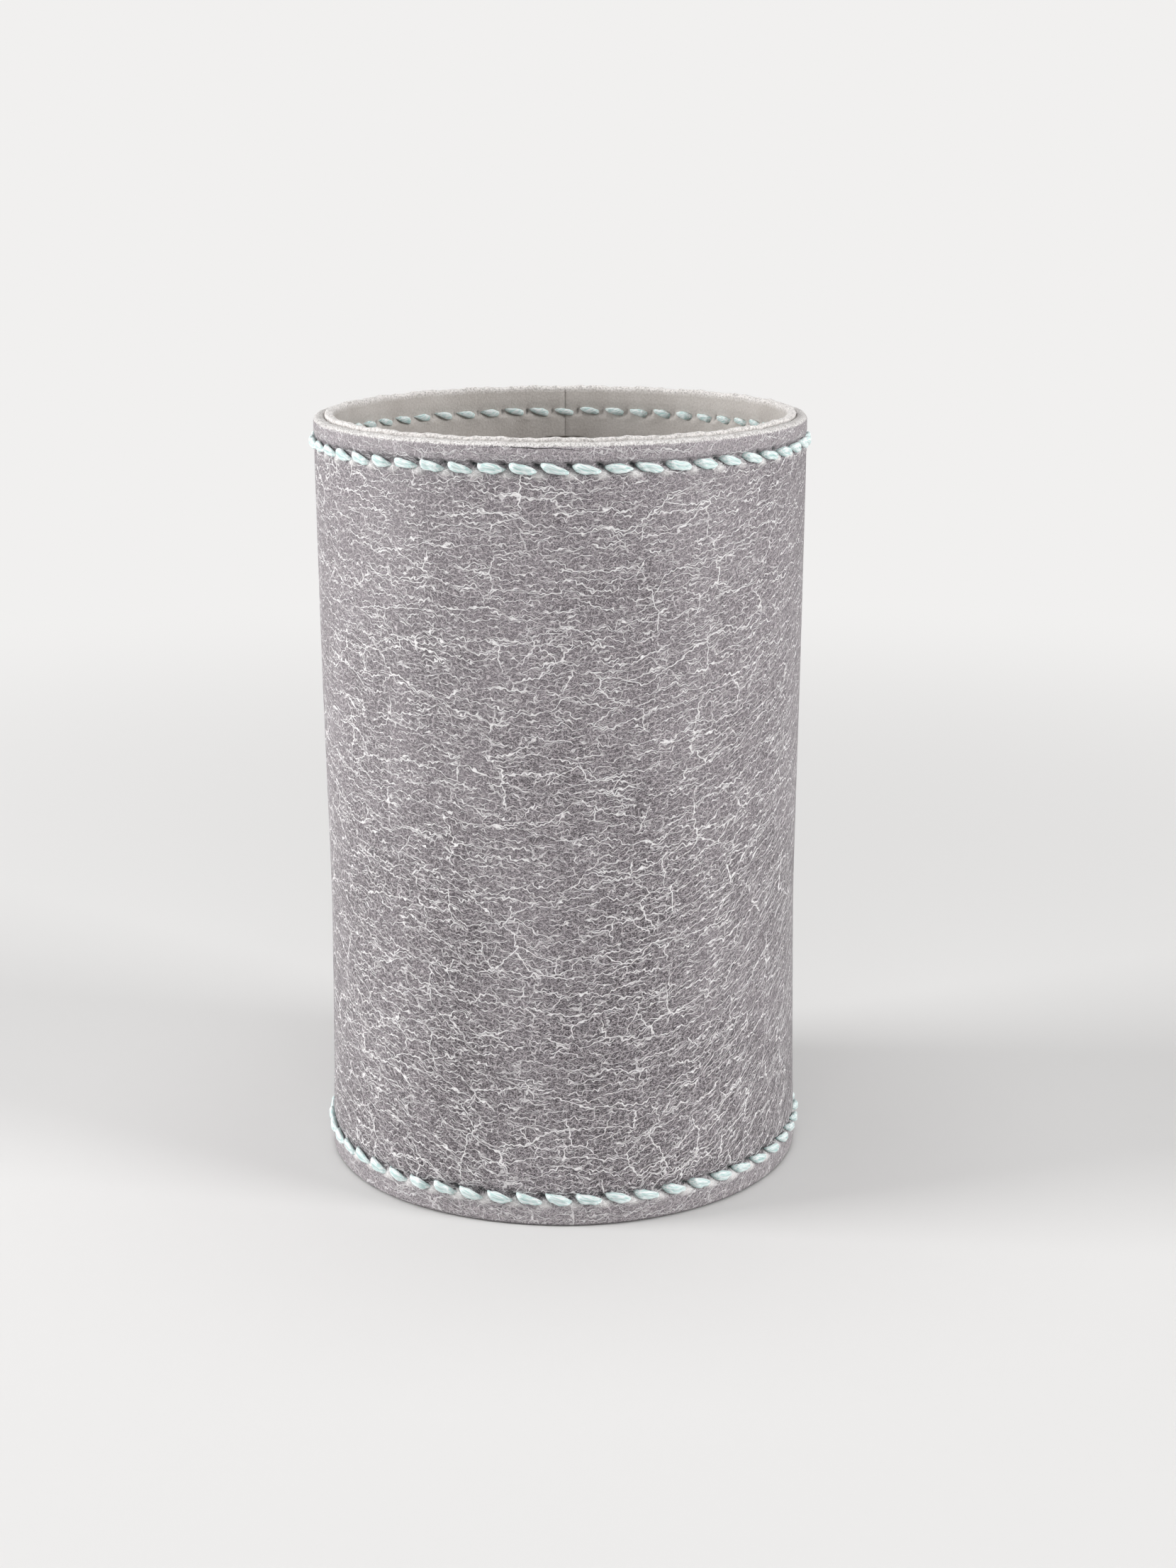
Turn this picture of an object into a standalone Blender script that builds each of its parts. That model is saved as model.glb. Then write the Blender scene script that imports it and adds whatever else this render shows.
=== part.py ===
"""Leather can cooler sleeve, 100 mm tall: a grey outer leather and a pale lining wrapped
into one upright tube, saddle stitched round both rims and laced together up the back.

Frame: metres, +Z up. The origin is at the centre of the lower rim, the front faces -Y
and the seam is at the back, on +Y. Angles are measured from the front, towards +X.
"""
import math

import bmesh
import bpy
from mathutils import Matrix, Vector

# Wall: heights and outside radii, from the lower rim to the upper one
HEIGHT = 0.1000
FOOT_RADIUS = 0.0319
FLARE_HEIGHT = 0.0140
FLARE_RADIUS = 0.0315
WAIST_HEIGHT = 0.0360
WAIST_RADIUS = 0.0312
BODY_HEIGHT = 0.0660
BODY_RADIUS = 0.03158
RIM_RADIUS = 0.0318

# Layers
LEATHER_THICKNESS = 0.0012
LINING_THICKNESS = 0.0010
LAYER_CLEARANCE = 0.0003
EDGE_ROUNDING = 0.0006
LINING_STAND_UP = 0.0004     # the lining's raw edge shows above the leather's
SEAM_GAP = 0.0005            # the two ends of each layer meet edge to edge

# Rim rows of saddle stitching
STITCHES_ROUND = 52          # the wall has one facet for each
TOP_ROW_INSET = 0.0035       # from the upper rim to the row's line
BOTTOM_ROW_INSET = 0.0037    # and from the lower rim
THREAD_CLEARANCE = 0.0003
SLIT_WIDTH = 0.0006          # of the thread in the slit, measured round the wall
SLIT_REACH = 0.00075         # of the thread above and below the row's line
SLIT_OVERLAP = 0.00005       # by how much a stitch's two ends pass the row's line
STITCH_SWELL = 0.00065       # half the height of a stitch at its middle
THREAD_AT_SLIT = 0.0004      # how thick the thread lies at a slit
THREAD_AT_MIDDLE = 0.0007    # and at the middle of a stitch outside

# Lacing up the back seam
LACING_TURNS = 11
LACING_INSET = 0.0100        # from either rim to the nearest hole
LACING_HALF_SPAN = 0.0028    # from the seam to the holes on either side
LACING_RADIUS = 0.00042
HOLE_CLEARANCE = 0.0003      # round the lacing in its square holes
WINDOW_WIDTH = 0.0090        # the lining is cut out behind the lacing
WINDOW_INSET = 0.0070        # from either rim to the window

STITCH_ANGLE = 2 * math.pi / STITCHES_ROUND
TOP_ROW_HEIGHT = HEIGHT - TOP_ROW_INSET
BOTTOM_ROW_HEIGHT = BOTTOM_ROW_INSET
LACING_RISE = (HEIGHT - 2 * LACING_INSET) / LACING_TURNS
LACING_HOLE = 2 * (LACING_RADIUS + HOLE_CLEARANCE)

for old in list(bpy.data.objects):
    bpy.data.objects.remove(old, do_unlink=True)

sleeve = bpy.data.collections.new("can_cooler_sleeve")
cutters = bpy.data.collections.new("cutters")
bpy.context.scene.collection.children.link(sleeve)
bpy.context.scene.collection.children.link(cutters)


def outside_radius(height):
    """Radius of the leather's outside: a tube with a slight waist and a flared foot."""
    levels = (
        (0.0, FOOT_RADIUS),
        (FLARE_HEIGHT, FLARE_RADIUS),
        (WAIST_HEIGHT, WAIST_RADIUS),
        (BODY_HEIGHT, BODY_RADIUS),
        (HEIGHT, RIM_RADIUS),
    )
    for (low, low_radius), (high, high_radius) in zip(levels, levels[1:]):
        if height <= high:
            share = (height - low) / (high - low)
            return low_radius + share * (high_radius - low_radius)
    return RIM_RADIUS


def at(angle, radius, height):
    """Point on the wall, with the angle measured from the front."""
    return Vector((radius * math.sin(angle), -radius * math.cos(angle), height))


def material(name, colour, roughness):
    made = bpy.data.materials.new(name)
    made.use_nodes = True
    shader = made.node_tree.nodes["Principled BSDF"]
    shader.inputs["Base Color"].default_value = (*colour, 1.0)
    shader.inputs["Roughness"].default_value = roughness
    shader.inputs["Metallic"].default_value = 0.0
    made.diffuse_color = (*colour, 1.0)
    return made


def add_object(name, mesh, finish, collection=sleeve):
    made = bpy.data.objects.new(name, mesh)
    collection.objects.link(made)
    if finish:
        mesh.materials.append(finish)
    return made


def mesh_from(bm, name):
    """Weld, face outwards and shade smooth up to 35 degrees."""
    bmesh.ops.remove_doubles(bm, verts=bm.verts, dist=1e-6)
    bmesh.ops.recalc_face_normals(bm, faces=bm.faces)
    mesh = bpy.data.meshes.new(name)
    bm.to_mesh(mesh)
    bm.free()
    mesh.shade_smooth()
    mesh.set_sharp_from_angle(angle=math.radians(35))
    return mesh


def wrapped_layer(name, outline, finish):
    """Turn a section, given as (radius, height) pairs, round Z from one end of the
    strip at the back to the other, with a facet for each stitch."""
    half_gap = SEAM_GAP / 2 / WAIST_RADIUS
    bm = bmesh.new()
    section = bm.faces.new([bm.verts.new(at(math.pi + half_gap, r, z)) for r, z in outline])
    bmesh.ops.spin(
        bm,
        geom=[section, *section.edges, *section.verts],
        cent=(0, 0, 0),
        axis=(0, 0, 1),
        angle=2 * (math.pi - half_gap),
        steps=STITCHES_ROUND,
    )
    return add_object(name, mesh_from(bm, name), finish)


def wall_levels(low, high):
    """Heights at which the wall's side has a corner between two ends."""
    between = [z for z in (FLARE_HEIGHT, WAIST_HEIGHT, BODY_HEIGHT) if low < z < high]
    return [low, *between, high]


def outer_leather(finish):
    """Grey leather strip. Its outer corners are rubbed round at both rims."""
    top = HEIGHT - LINING_STAND_UP
    side = [(outside_radius(z), z) for z in wall_levels(EDGE_ROUNDING, top - EDGE_ROUNDING)]
    inside = [(outside_radius(z) - LEATHER_THICKNESS, z) for z in wall_levels(0.0, top)]
    outline = [
        (outside_radius(0.0) - EDGE_ROUNDING, 0.0),
        *side,
        (outside_radius(top) - EDGE_ROUNDING, top),
        *reversed(inside),
    ]
    return wrapped_layer("outer_leather", outline, finish)


def lining(finish):
    """Pale suede strip inside the leather, with square raw edges. A long window behind
    the lacing leaves room for its turns, so that nothing stands into the bore there."""
    offset = LEATHER_THICKNESS + LAYER_CLEARANCE
    levels = wall_levels(0.0, HEIGHT)
    back = [(outside_radius(z) - offset, z) for z in levels]
    face = [(radius - LINING_THICKNESS, z) for radius, z in back]
    strip = wrapped_layer("lining", [*back, *reversed(face)], finish)
    cut(strip, window_cutter(), "window behind the lacing")
    return strip


def square_ring(across, low, high, inner, outer):
    """Rectangular cross-section of a stitch at the front, facing along X."""
    corners = ((inner, low), (outer, low), (outer, high), (inner, high))
    return [Vector((across, -radius, height)) for radius, height in corners]


def slit_ring(side, row_height, inner, outer, spread=0.0):
    """Cross-section at one side of a slit. A slit leans: a stitch leaves it high on
    the right side and enters the next one low on the left side."""
    high = SLIT_REACH if side > 0 else SLIT_OVERLAP
    low = -SLIT_OVERLAP if side > 0 else -SLIT_REACH
    across = side * (SLIT_WIDTH / 2 + spread)
    low_edge = row_height + low - spread
    high_edge = row_height + high + spread
    return square_ring(across, low_edge, high_edge, inner, outer)


def bridge(bm, first, second, skip=()):
    """Side faces between two rings of corners, but for the sides that are skipped."""
    count = len(first)
    for i in range(count):
        if i in skip:
            continue
        j = (i + 1) % count
        corners = (first[i], first[j], second[j], second[i])
        bm.faces.new([bm.verts.new(corner) for corner in corners])


def turned(corners, angle):
    return [Matrix.Rotation(angle, 3, "Z") @ corner for corner in corners]


def stitch_row(name, row_height, finish):
    """Ring of saddle stitches: plump outside, flat inside, joined through each slit."""
    wall = outside_radius(row_height)
    outside = wall + THREAD_CLEARANCE
    lining_face = wall - LEATHER_THICKNESS - LAYER_CLEARANCE - LINING_THICKNESS
    inside = lining_face - THREAD_CLEARANCE
    near_skip, far_skip = (3,), (1,)
    bm = bmesh.new()
    for i in range(STITCHES_ROUND):
        slit = (i + 0.5) * STITCH_ANGLE
        crossing = []
        for near, far, skip in (
            (outside, outside + THREAD_AT_SLIT, near_skip),
            (inside - THREAD_AT_SLIT, inside, far_skip),
        ):
            left = turned(slit_ring(-1, row_height, near, far), slit)
            right = turned(slit_ring(1, row_height, near, far), slit)
            end = turned(slit_ring(-1, row_height, near, far), slit + STITCH_ANGLE)
            bridge(bm, left, right, skip)
            if near > wall:
                low, high = row_height - STITCH_SWELL, row_height + STITCH_SWELL
                middle = square_ring(0.0, low, high, near, near + THREAD_AT_MIDDLE)
                middle = turned(middle, slit + STITCH_ANGLE / 2)
                bridge(bm, right, middle)
                bridge(bm, middle, end)
                crossing.append([left[0], right[0], right[3], left[3]])
            else:
                bridge(bm, right, end)
                crossing.append([left[1], right[1], right[2], left[2]])
        bridge(bm, *crossing)
    return add_object(name, mesh_from(bm, name), finish)


def lacing_height(turn):
    return LACING_INSET + turn * LACING_RISE


def lacing(finish):
    """One thread up the back seam: slanting over the seam outside, level inside."""
    outside_stand = THREAD_CLEARANCE + LACING_RADIUS
    inside_stand = LEATHER_THICKNESS + THREAD_CLEARANCE + LACING_RADIUS
    route = []
    for turn in range(LACING_TURNS):
        low = lacing_height(turn)
        high = lacing_height(turn + 1)
        reach = {z: outside_radius(z) for z in (low, high)}
        dip = {z: math.sqrt(reach[z] ** 2 - LACING_HALF_SPAN**2) for z in reach}
        route += [
            (LACING_HALF_SPAN, dip[low] - inside_stand, low),
            (LACING_HALF_SPAN, reach[low] + outside_stand, low),
            (-LACING_HALF_SPAN, reach[high] + outside_stand, high),
            (-LACING_HALF_SPAN, dip[high] - inside_stand, high),
        ]
    curve = bpy.data.curves.new("lacing_route", "CURVE")
    curve.dimensions = "3D"
    curve.bevel_depth = LACING_RADIUS
    curve.bevel_resolution = 0
    curve.use_fill_caps = True
    spline = curve.splines.new("POLY")
    spline.points.add(len(route) - 1)
    for point, place in zip(spline.points, route):
        point.co = (*place, 1.0)
    tube = bpy.data.objects.new("lacing_route", curve)
    cutters.objects.link(tube)
    bpy.context.view_layer.update()
    evaluated = tube.evaluated_get(bpy.context.evaluated_depsgraph_get())
    bm = bmesh.new()
    bm.from_mesh(evaluated.to_mesh())
    bpy.data.objects.remove(tube, do_unlink=True)
    return add_object("seam_lacing", mesh_from(bm, "seam_lacing"), finish)


def slit_cutter(bm, slit, row_height):
    """Prism a clearance wider than the thread in a slit, right through both layers."""
    wall = outside_radius(row_height)
    inner = wall - 3 * (LEATHER_THICKNESS + LINING_THICKNESS) / 2
    outer = wall + LEATHER_THICKNESS
    left = turned(slit_ring(-1, row_height, inner, outer, THREAD_CLEARANCE), slit)
    right = turned(slit_ring(1, row_height, inner, outer, THREAD_CLEARANCE), slit)
    bridge(bm, left, right)
    for end in (left, right):
        bm.faces.new([bm.verts.new(corner) for corner in end])


def hole_cutter(bm, side, height):
    """Square bar along Y through the leather beside the seam."""
    centre = Vector((side * LACING_HALF_SPAN, outside_radius(height), height))
    size = Matrix.Diagonal((LACING_HOLE, 4 * LEATHER_THICKNESS, LACING_HOLE, 1.0))
    bmesh.ops.create_cube(bm, size=1.0, matrix=Matrix.Translation(centre) @ size)


def as_cutter(bm, name):
    made = add_object(name, mesh_from(bm, name), None, cutters)
    made.hide_render = True
    made.display_type = "WIRE"
    return made


def window_cutter():
    """Upright box through the lining's back."""
    size = (WINDOW_WIDTH, WAIST_RADIUS, HEIGHT - 2 * WINDOW_INSET)
    centre = Vector((0.0, WAIST_RADIUS, HEIGHT / 2))
    bm = bmesh.new()
    place = Matrix.Translation(centre) @ Matrix.Diagonal((*size, 1.0))
    bmesh.ops.create_cube(bm, size=1.0, matrix=place)
    return as_cutter(bm, "window_cutter")


def hole_cutters():
    """Every slit and lacing hole, as one set of closed prisms."""
    bm = bmesh.new()
    for row_height in (TOP_ROW_HEIGHT, BOTTOM_ROW_HEIGHT):
        for i in range(STITCHES_ROUND):
            slit_cutter(bm, (i + 0.5) * STITCH_ANGLE, row_height)
    for turn in range(LACING_TURNS):
        hole_cutter(bm, 1, lacing_height(turn))
        hole_cutter(bm, -1, lacing_height(turn + 1))
    return as_cutter(bm, "hole_cutters")


def cut(layer, cutter, name):
    """Cut openings, which stay live so that their sizes can be changed."""
    openings = layer.modifiers.new(name, "BOOLEAN")
    openings.operation = "DIFFERENCE"
    openings.solver = "EXACT"
    openings.object = cutter


grey_leather = material("grey_crackled_leather", (0.32, 0.30, 0.31), 0.6)
pale_suede = material("pale_suede_lining", (0.72, 0.69, 0.66), 0.95)
mint_thread = material("mint_waxed_thread", (0.60, 0.80, 0.78), 0.5)

holes = hole_cutters()
for layer in (outer_leather(grey_leather), lining(pale_suede)):
    cut(layer, holes, "stitch holes")
stitch_row("top_stitching", TOP_ROW_HEIGHT, mint_thread)
stitch_row("bottom_stitching", BOTTOM_ROW_HEIGHT, mint_thread)
lacing(mint_thread)
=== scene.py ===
# %% [markdown]
# # A leather cooler sleeve
# The real thing is a strip of grey crackled leather, lined with pale suede and closed up
# the back. A mint waxed thread is saddle-stitched round both rims and laces the seam.
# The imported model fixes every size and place. It is loaded first, and each piece below
# is made round it, in metres, on the same origin.

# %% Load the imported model
import math

import bpy
import numpy as np
from mathutils import Matrix, Vector


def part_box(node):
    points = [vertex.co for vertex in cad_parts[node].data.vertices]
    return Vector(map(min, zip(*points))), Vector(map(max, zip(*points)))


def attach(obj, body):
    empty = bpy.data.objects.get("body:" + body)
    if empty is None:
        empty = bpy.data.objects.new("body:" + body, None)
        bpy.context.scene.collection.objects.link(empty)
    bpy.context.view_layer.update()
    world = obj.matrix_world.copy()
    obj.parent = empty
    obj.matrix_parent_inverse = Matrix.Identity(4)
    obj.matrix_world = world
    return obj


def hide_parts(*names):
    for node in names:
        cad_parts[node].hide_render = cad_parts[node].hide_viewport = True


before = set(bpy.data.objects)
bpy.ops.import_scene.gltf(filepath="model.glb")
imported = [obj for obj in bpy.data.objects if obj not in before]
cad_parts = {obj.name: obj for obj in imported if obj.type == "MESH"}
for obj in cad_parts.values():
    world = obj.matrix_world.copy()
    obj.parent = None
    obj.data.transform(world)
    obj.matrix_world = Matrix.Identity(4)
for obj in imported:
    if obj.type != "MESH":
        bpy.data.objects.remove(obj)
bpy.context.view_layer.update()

# %% [markdown]
# ## Measures
# The same values shaped the solids. They are written here in millimetres, because
# leatherwork is measured so, and a mesh takes them times 0.001. The wall is not a plain
# tube: it has a slight waist and a flared foot, so its radius is a smooth curve of the
# height.

# %% Measures of the sleeve
MM = 0.001
HEIGHT = 1000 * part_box("lining")[1].z
LEATHER_TOP = 1000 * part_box("outer_leather")[1].z
LEVELS = (0.0, 14.0, 36.0, 66.0, 100.0)
RADII = (31.9, 31.5, 31.2, 31.58, 31.8)
STITCHES = 52
TOP_ROW = HEIGHT - 3.5
BOTTOM_ROW = 3.7
STITCH_ANGLE = 2 * math.pi / STITCHES
LEATHER_DEPTH = 1.40         # where the leather ends and the lining begins
LINING_DEPTH = 2.50          # where the lining's inner face is
HALF_GAP = 0.002             # half the joint between the strip's two ends
FLAT_RADIUS = 31.7           # where lengths along the wall are measured
SMOOTHING = 161              # heights that one smoothed radius is taken over, 0.1 mm apart

fine_heights = np.linspace(-30.0, 130.0, 1601)
wall_line = np.interp(fine_heights, LEVELS, RADII)
for end, way in ((0, -1), (-1, 1)):
    low, high = (0, 1) if end == 0 else (-2, -1)
    slope = (RADII[high] - RADII[low]) / (LEVELS[high] - LEVELS[low])
    past = way * (fine_heights - LEVELS[end]) > 0
    wall_line[past] = RADII[end] + slope * (fine_heights[past] - LEVELS[end])
weights = np.hanning(SMOOTHING)
wall_line = np.convolve(wall_line, weights / weights.sum(), "same")


def wall_radius(height):
    """Radius of the leather's outside in mm: the straight runs, smoothed over 8 mm."""
    return np.interp(height, fine_heights, wall_line)


def on_wall(angle, radius, height):
    """Points in metres from millimetres. The angle runs from the front to the right."""
    return MM * np.stack((radius * np.sin(angle), -radius * np.cos(angle), height), -1)


print("radius at foot, waist and rim:", [round(float(wall_radius(z)), 2) for z in (0, 36, 100)])

# %% [markdown]
# ## Helpers
# Every operator acts on all that is selected, so there is one helper that clears the
# selection. Another writes a whole mesh's points at once, and a third stores a number on
# each point, which a material can read later.

# %% Helpers for meshes


def only(*chosen):
    """Select these objects and nothing else."""
    if bpy.context.object and bpy.context.object.mode != "OBJECT":
        bpy.ops.object.mode_set(mode="OBJECT")
    bpy.ops.object.select_all(action="DESELECT")
    for piece in chosen:
        piece.select_set(True)
    bpy.context.view_layer.objects.active = chosen[0]


def points_of(piece):
    """All points of a mesh as rows of x, y and z."""
    flat = np.empty(3 * len(piece.data.vertices))
    piece.data.vertices.foreach_get("co", flat)
    return flat.reshape(-1, 3)


def set_points(piece, points):
    piece.data.vertices.foreach_set("co", np.ravel(points))
    piece.data.update()


def store(piece, name, values):
    """Keep a number, or a vector, on every point under a name."""
    kind, key = ("FLOAT_VECTOR", "vector") if np.ndim(values) == 2 else ("FLOAT", "value")
    layer = piece.data.attributes.new(name, kind, "POINT")
    layer.data.foreach_set(key, np.ravel(values).astype(np.float32))


def face_outwards():
    """Turn every face of the mesh in edit mode outwards, and leave edit mode."""
    bpy.ops.mesh.select_all(action="SELECT")
    bpy.ops.mesh.normals_make_consistent(inside=False)
    bpy.ops.object.mode_set(mode="OBJECT")


def finish_piece(piece, name, finish, slot, *nodes):
    """Name a piece, give it its material, hang it on the root and hide the solids it stands for.
    """
    piece.name = piece.data.name = name
    piece.data.materials.clear()
    piece.data.materials.append(finish)
    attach(piece, "root")
    if nodes:
        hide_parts(*nodes)
    piece.data.calc_loop_triangles()
    print(name, "has", len(piece.data.loop_triangles), "triangles")


def linear(code):
    """A hex colour as sRGB writes it, turned to the linear one that a shader takes."""
    parts = [int(code[i : i + 2], 16) / 255 for i in (0, 2, 4)]
    return [c / 12.92 if c <= 0.04045 else ((c + 0.055) / 1.055) ** 2.4 for c in parts] + [1.0]


def add_node(tree, kind, sockets=None, **settings):
    """Add one node with its settings. A socket takes a value or another node's output."""
    made = tree.nodes.new(kind)
    for name, value in settings.items():
        setattr(made, name, value)
    for socket, value in (sockets or {}).items():
        if isinstance(value, bpy.types.NodeSocket):
            tree.links.new(value, made.inputs[socket])
        else:
            made.inputs[socket].default_value = value
    return made


# %% [markdown]
# ## The strip of leather
# The leather is cut as a flat strip and wrapped round until its ends meet. So it starts
# as a flat grid. Its columns run round the sleeve. Its rows go once round the strip's own
# section: up the grain side, over the cut upper edge, down the flesh side and under the
# lower edge. The rows lie close together near the stitching and at the lacing's holes,
# where the thread pulls the leather in, and wide apart on the flesh side, which the
# lining covers.

# %% Sections of the two layers


def arc(centre_depth, centre_height, radius, start, stop, steps):
    """Points of a rounded edge, with the angle from the grain side towards the top."""
    turns = np.radians(np.linspace(start, stop, steps))
    return [
        (centre_depth - radius * math.cos(t), centre_height + radius * math.sin(t)) for t in turns
    ]


def spread(start, stop, step):
    """Heights from start to stop, a step apart or a little less."""
    return list(np.linspace(start, stop, max(2, int(abs(stop - start) / step) + 2)))


TURNS, INSET, HALF_SPAN, THREAD_RADIUS = 11, 10.0, 2.8, 0.42      # of the lacing
RISE = (HEIGHT - 2 * INSET) / TURNS
BEVEL = 0.6                                  # rounding of the leather's outer corners
leather_heights = (
    spread(0.75, 7.0, 0.34)
    + [8.0]
    + [
        INSET + turn * RISE + step
        for turn in range(TURNS + 1)
        for step in (-0.70, -0.25, 0.25, 0.70, 2.10, 3.60, 5.10)[: 4 if turn == TURNS else 7]
    ]
    + spread(92.0, LEATHER_TOP - 0.75, 0.32)
)
leather_section = (
    [(0.0, z) for z in leather_heights]
    + arc(BEVEL, LEATHER_TOP - BEVEL, BEVEL, 6, 84, 6)
    + [(0.8, LEATHER_TOP), (1.05, LEATHER_TOP)]
    + [(1.3, LEATHER_TOP - 0.08), (LEATHER_DEPTH, LEATHER_TOP - 0.3)]
    + [(LEATHER_DEPTH, z) for z in (97.0, 92.0, 75.0, 55.0, 35.0, 15.0, 6.0, 2.0)]
    + [(LEATHER_DEPTH, 0.3), (1.3, 0.06), (0.9, 0.0)]
    + arc(BEVEL, BEVEL, BEVEL, -84, -6, 6)
)
lining_heights = (
    spread(HEIGHT - 0.45, 92.0, 0.4) + spread(92.0, 8.0, 2.3)[1:-1] + spread(8.0, 0.45, 0.42)
)
lining_section = (
    [(LEATHER_DEPTH + 0.04, z) for z in (0.4, 3.0, 10.0, 30.0, 50.0, 70.0, 90.0, 97.0, 99.2)]
    + arc(LEATHER_DEPTH + 0.34, HEIGHT - 0.3, 0.3, 10, 80, 4)
    + [(1.9, HEIGHT), (2.1, HEIGHT)]
    + [(2.3, HEIGHT - 0.05), (2.45, HEIGHT - 0.2)]
    + [(LINING_DEPTH, z) for z in lining_heights]
    + [(2.4, 0.12), (2.2, 0.0), (1.9, 0.0), (1.6, 0.08)]
)
print("rows:", len(leather_section), "in the leather and", len(lining_section), "in the lining")

# %% [markdown]
# Each rim has 52 slits. At a slit the thread dives in, and drags the leather with it: a
# small pit, a shallow channel along the row, and a fold that is pushed out beside it. No
# two stitches are pulled alike, so a seeded generator gives each its own strength.

# %% How the thread pulls the leather
chance = np.random.default_rng(7)
PULLS = {row: chance.uniform(0.75, 1.2, STITCHES) for row in ("top", "bottom")}
SHIFTS = {row: chance.uniform(-0.12, 0.12, STITCHES) for row in ("top", "bottom")}
WAVES = [
    (
        chance.uniform(0.3, 1.0),        # how much of it
        chance.integers(2, 9),           # waves in one turn
        chance.uniform(0.02, 0.09),      # how they lean with the height
        chance.uniform(0, 6),            # where they start
    )
    for _ in range(9)
]
print("pull of the first slits:", np.round(PULLS["top"][:4], 2))


def slit_offset(angle, row):
    """Distance in mm from the nearest slit along the wall, and how hard it is pulled."""
    place = angle / STITCH_ANGLE - 0.5
    nearest = np.round(place)
    number = nearest.astype(int) % STITCHES
    return (place - nearest) * STITCH_ANGLE * FLAT_RADIUS - SHIFTS[row][number], PULLS[row][number]


def pulled(angle, height, row, side):
    """How far one face sinks at a stitch row in mm, the painted shade of its pit and the pale
    strain of its fold.
    """
    line = TOP_ROW if row == "top" else BOTTOM_ROW
    along, pull = slit_offset(angle, row)
    up = height - line
    lean = 0.45 * (along + 0.2)
    pit = np.exp(-(((along + 0.25) / 0.72) ** 2) - ((up - 0.42 + lean) / 0.33) ** 2)
    slot = 0.8 * np.exp(-((along / 0.30) ** 2) - (up / 0.55) ** 4)
    pit = pit if side > 0 else 0.8 * slot            # the leather's pits, the lining's slots
    channel = np.exp(-((up / 0.95) ** 2))
    wide = (0.55 if row == "top" else 0.72) + 0.50 * np.clip(-up, 0, 1)
    fold = np.exp(-((along / wide) ** 2) - ((up + 0.62) / 0.58) ** 2)
    brow = np.exp(-(((np.abs(along) - 1.9) / 0.9) ** 2) - ((up - 1.35) / 0.5) ** 2)
    raised, pale = (0.34, 0.60) if row == "top" else (0.30, 0.75)
    sink = 0.55 * pit * pull + 0.20 * channel - raised * fold * pull - 0.06 * brow
    return sink, pit * pull, pale * fold * pull


def laced(angle, height):
    """The round dents of the lacing's holes beside the back seam: 1 in their middle."""
    from_seam = FLAT_RADIUS * (math.pi - np.abs(angle))
    turn = np.rint((height - INSET) / RISE)
    with_painted_slot_shade = np.where(angle > 0, (turn >= 0) & (turn < TURNS), (turn > 0) & (turn <= TURNS))
    away = np.hypot(from_seam - HALF_SPAN, height - INSET - turn * RISE)
    return with_painted_slot_shade * np.exp(-((away / 0.62) ** 4))


def waviness(angle, height):
    """Slow unevenness of hand-worked leather in mm."""
    total = 0 * angle
    for size, turns, rise, phase in WAVES:
        total = total + size * np.sin(turns * angle + phase + rise * height)
    return 0.028 * total


# %% [markdown]
# One function wraps a strip of either layer. It adds the grid, moves its points round
# the section and round the sleeve, welds the last row to the first, closes the two ends
# at the seam with a face each, and keeps every point's place on the flat strip.

# %% Wrap a strip


def wrap_strip(name, section, columns, side, rim_wobble):
    """A strip wrapped round, with its place on the flat strip kept as an attribute."""
    rows = len(section)
    bpy.ops.object.select_all(action="DESELECT")
    bpy.ops.mesh.primitive_grid_add(x_subdivisions=columns, y_subdivisions=rows, size=1)
    strip = bpy.context.object
    strip.name = name
    flat = points_of(strip)
    column = np.rint((flat[:, 0] + 0.5) * columns)
    row = np.rint((flat[:, 1] + 0.5) * rows).astype(int) % rows
    depth, height = np.array(section)[row].T
    edge = HALF_GAP / FLAT_RADIUS
    angle = np.clip(column * 2 * math.pi / columns, edge, 2 * math.pi - edge) - math.pi
    showing = np.clip(1 - np.abs(depth - (0 if side > 0 else LINING_DEPTH)) / 0.9, 0, 1)
    sink_top, pit_top, fold_top = pulled(angle, height, "top", side)
    sink_foot, pit_foot, fold_foot = pulled(angle, height, "bottom", side)
    ragged = sum(
        np.sin(waves * angle + start) * size
        for waves, start, size in ((23, 1.0, 0.5), (61, 2.0, 0.35), (113, 0.5, 0.3))
    )
    lift = rim_wobble * ragged * np.clip((height - 98.6) / 1.0, 0, 1)
    bulge = waviness(angle, height)
    radius = wall_radius(height) - depth - side * showing * (sink_top + sink_foot) + bulge
    joint = np.abs(column - np.round(column / columns) * columns) < 0.5
    dent = laced(angle, height) if side > 0 else 0 * angle
    radius = radius - side * showing * np.where(joint, 0.22, 0.55 * dent)
    set_points(strip, on_wall(angle, radius, height + lift))
    store(strip, "strip", np.stack((angle * FLAT_RADIUS, height, depth), -1))
    # Painted shade: the joint and the lacing's holes go into the pit number, which is painted
    # dark.
    painted_hole_shade = np.where(joint, 0.45, 0.95 * dent)
    store(strip, "pit", showing * np.maximum(pit_top + pit_foot, painted_hole_shade))
    store(strip, "fold", showing * (fold_top + fold_foot))
    only(strip)
    bpy.ops.object.mode_set(mode="EDIT")
    bpy.ops.mesh.select_all(action="SELECT")
    bpy.ops.mesh.remove_doubles(threshold=1e-6)
    for end in (-1, 1):
        bpy.ops.mesh.select_all(action="DESELECT")
        bpy.ops.mesh.select_mode(type="VERT")
        bpy.ops.object.mode_set(mode="OBJECT")
        places = points_of(strip)
        turn = np.arctan2(places[:, 0], -places[:, 1])
        at_end = np.abs(turn - end * (math.pi - edge)) < 0.4 * edge
        strip.data.vertices.foreach_set("select", at_end)
        bpy.ops.object.mode_set(mode="EDIT")
        bpy.ops.mesh.edge_face_add()
    face_outwards()
    bpy.ops.object.shade_smooth_by_angle(angle=math.radians(50))
    return strip


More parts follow.
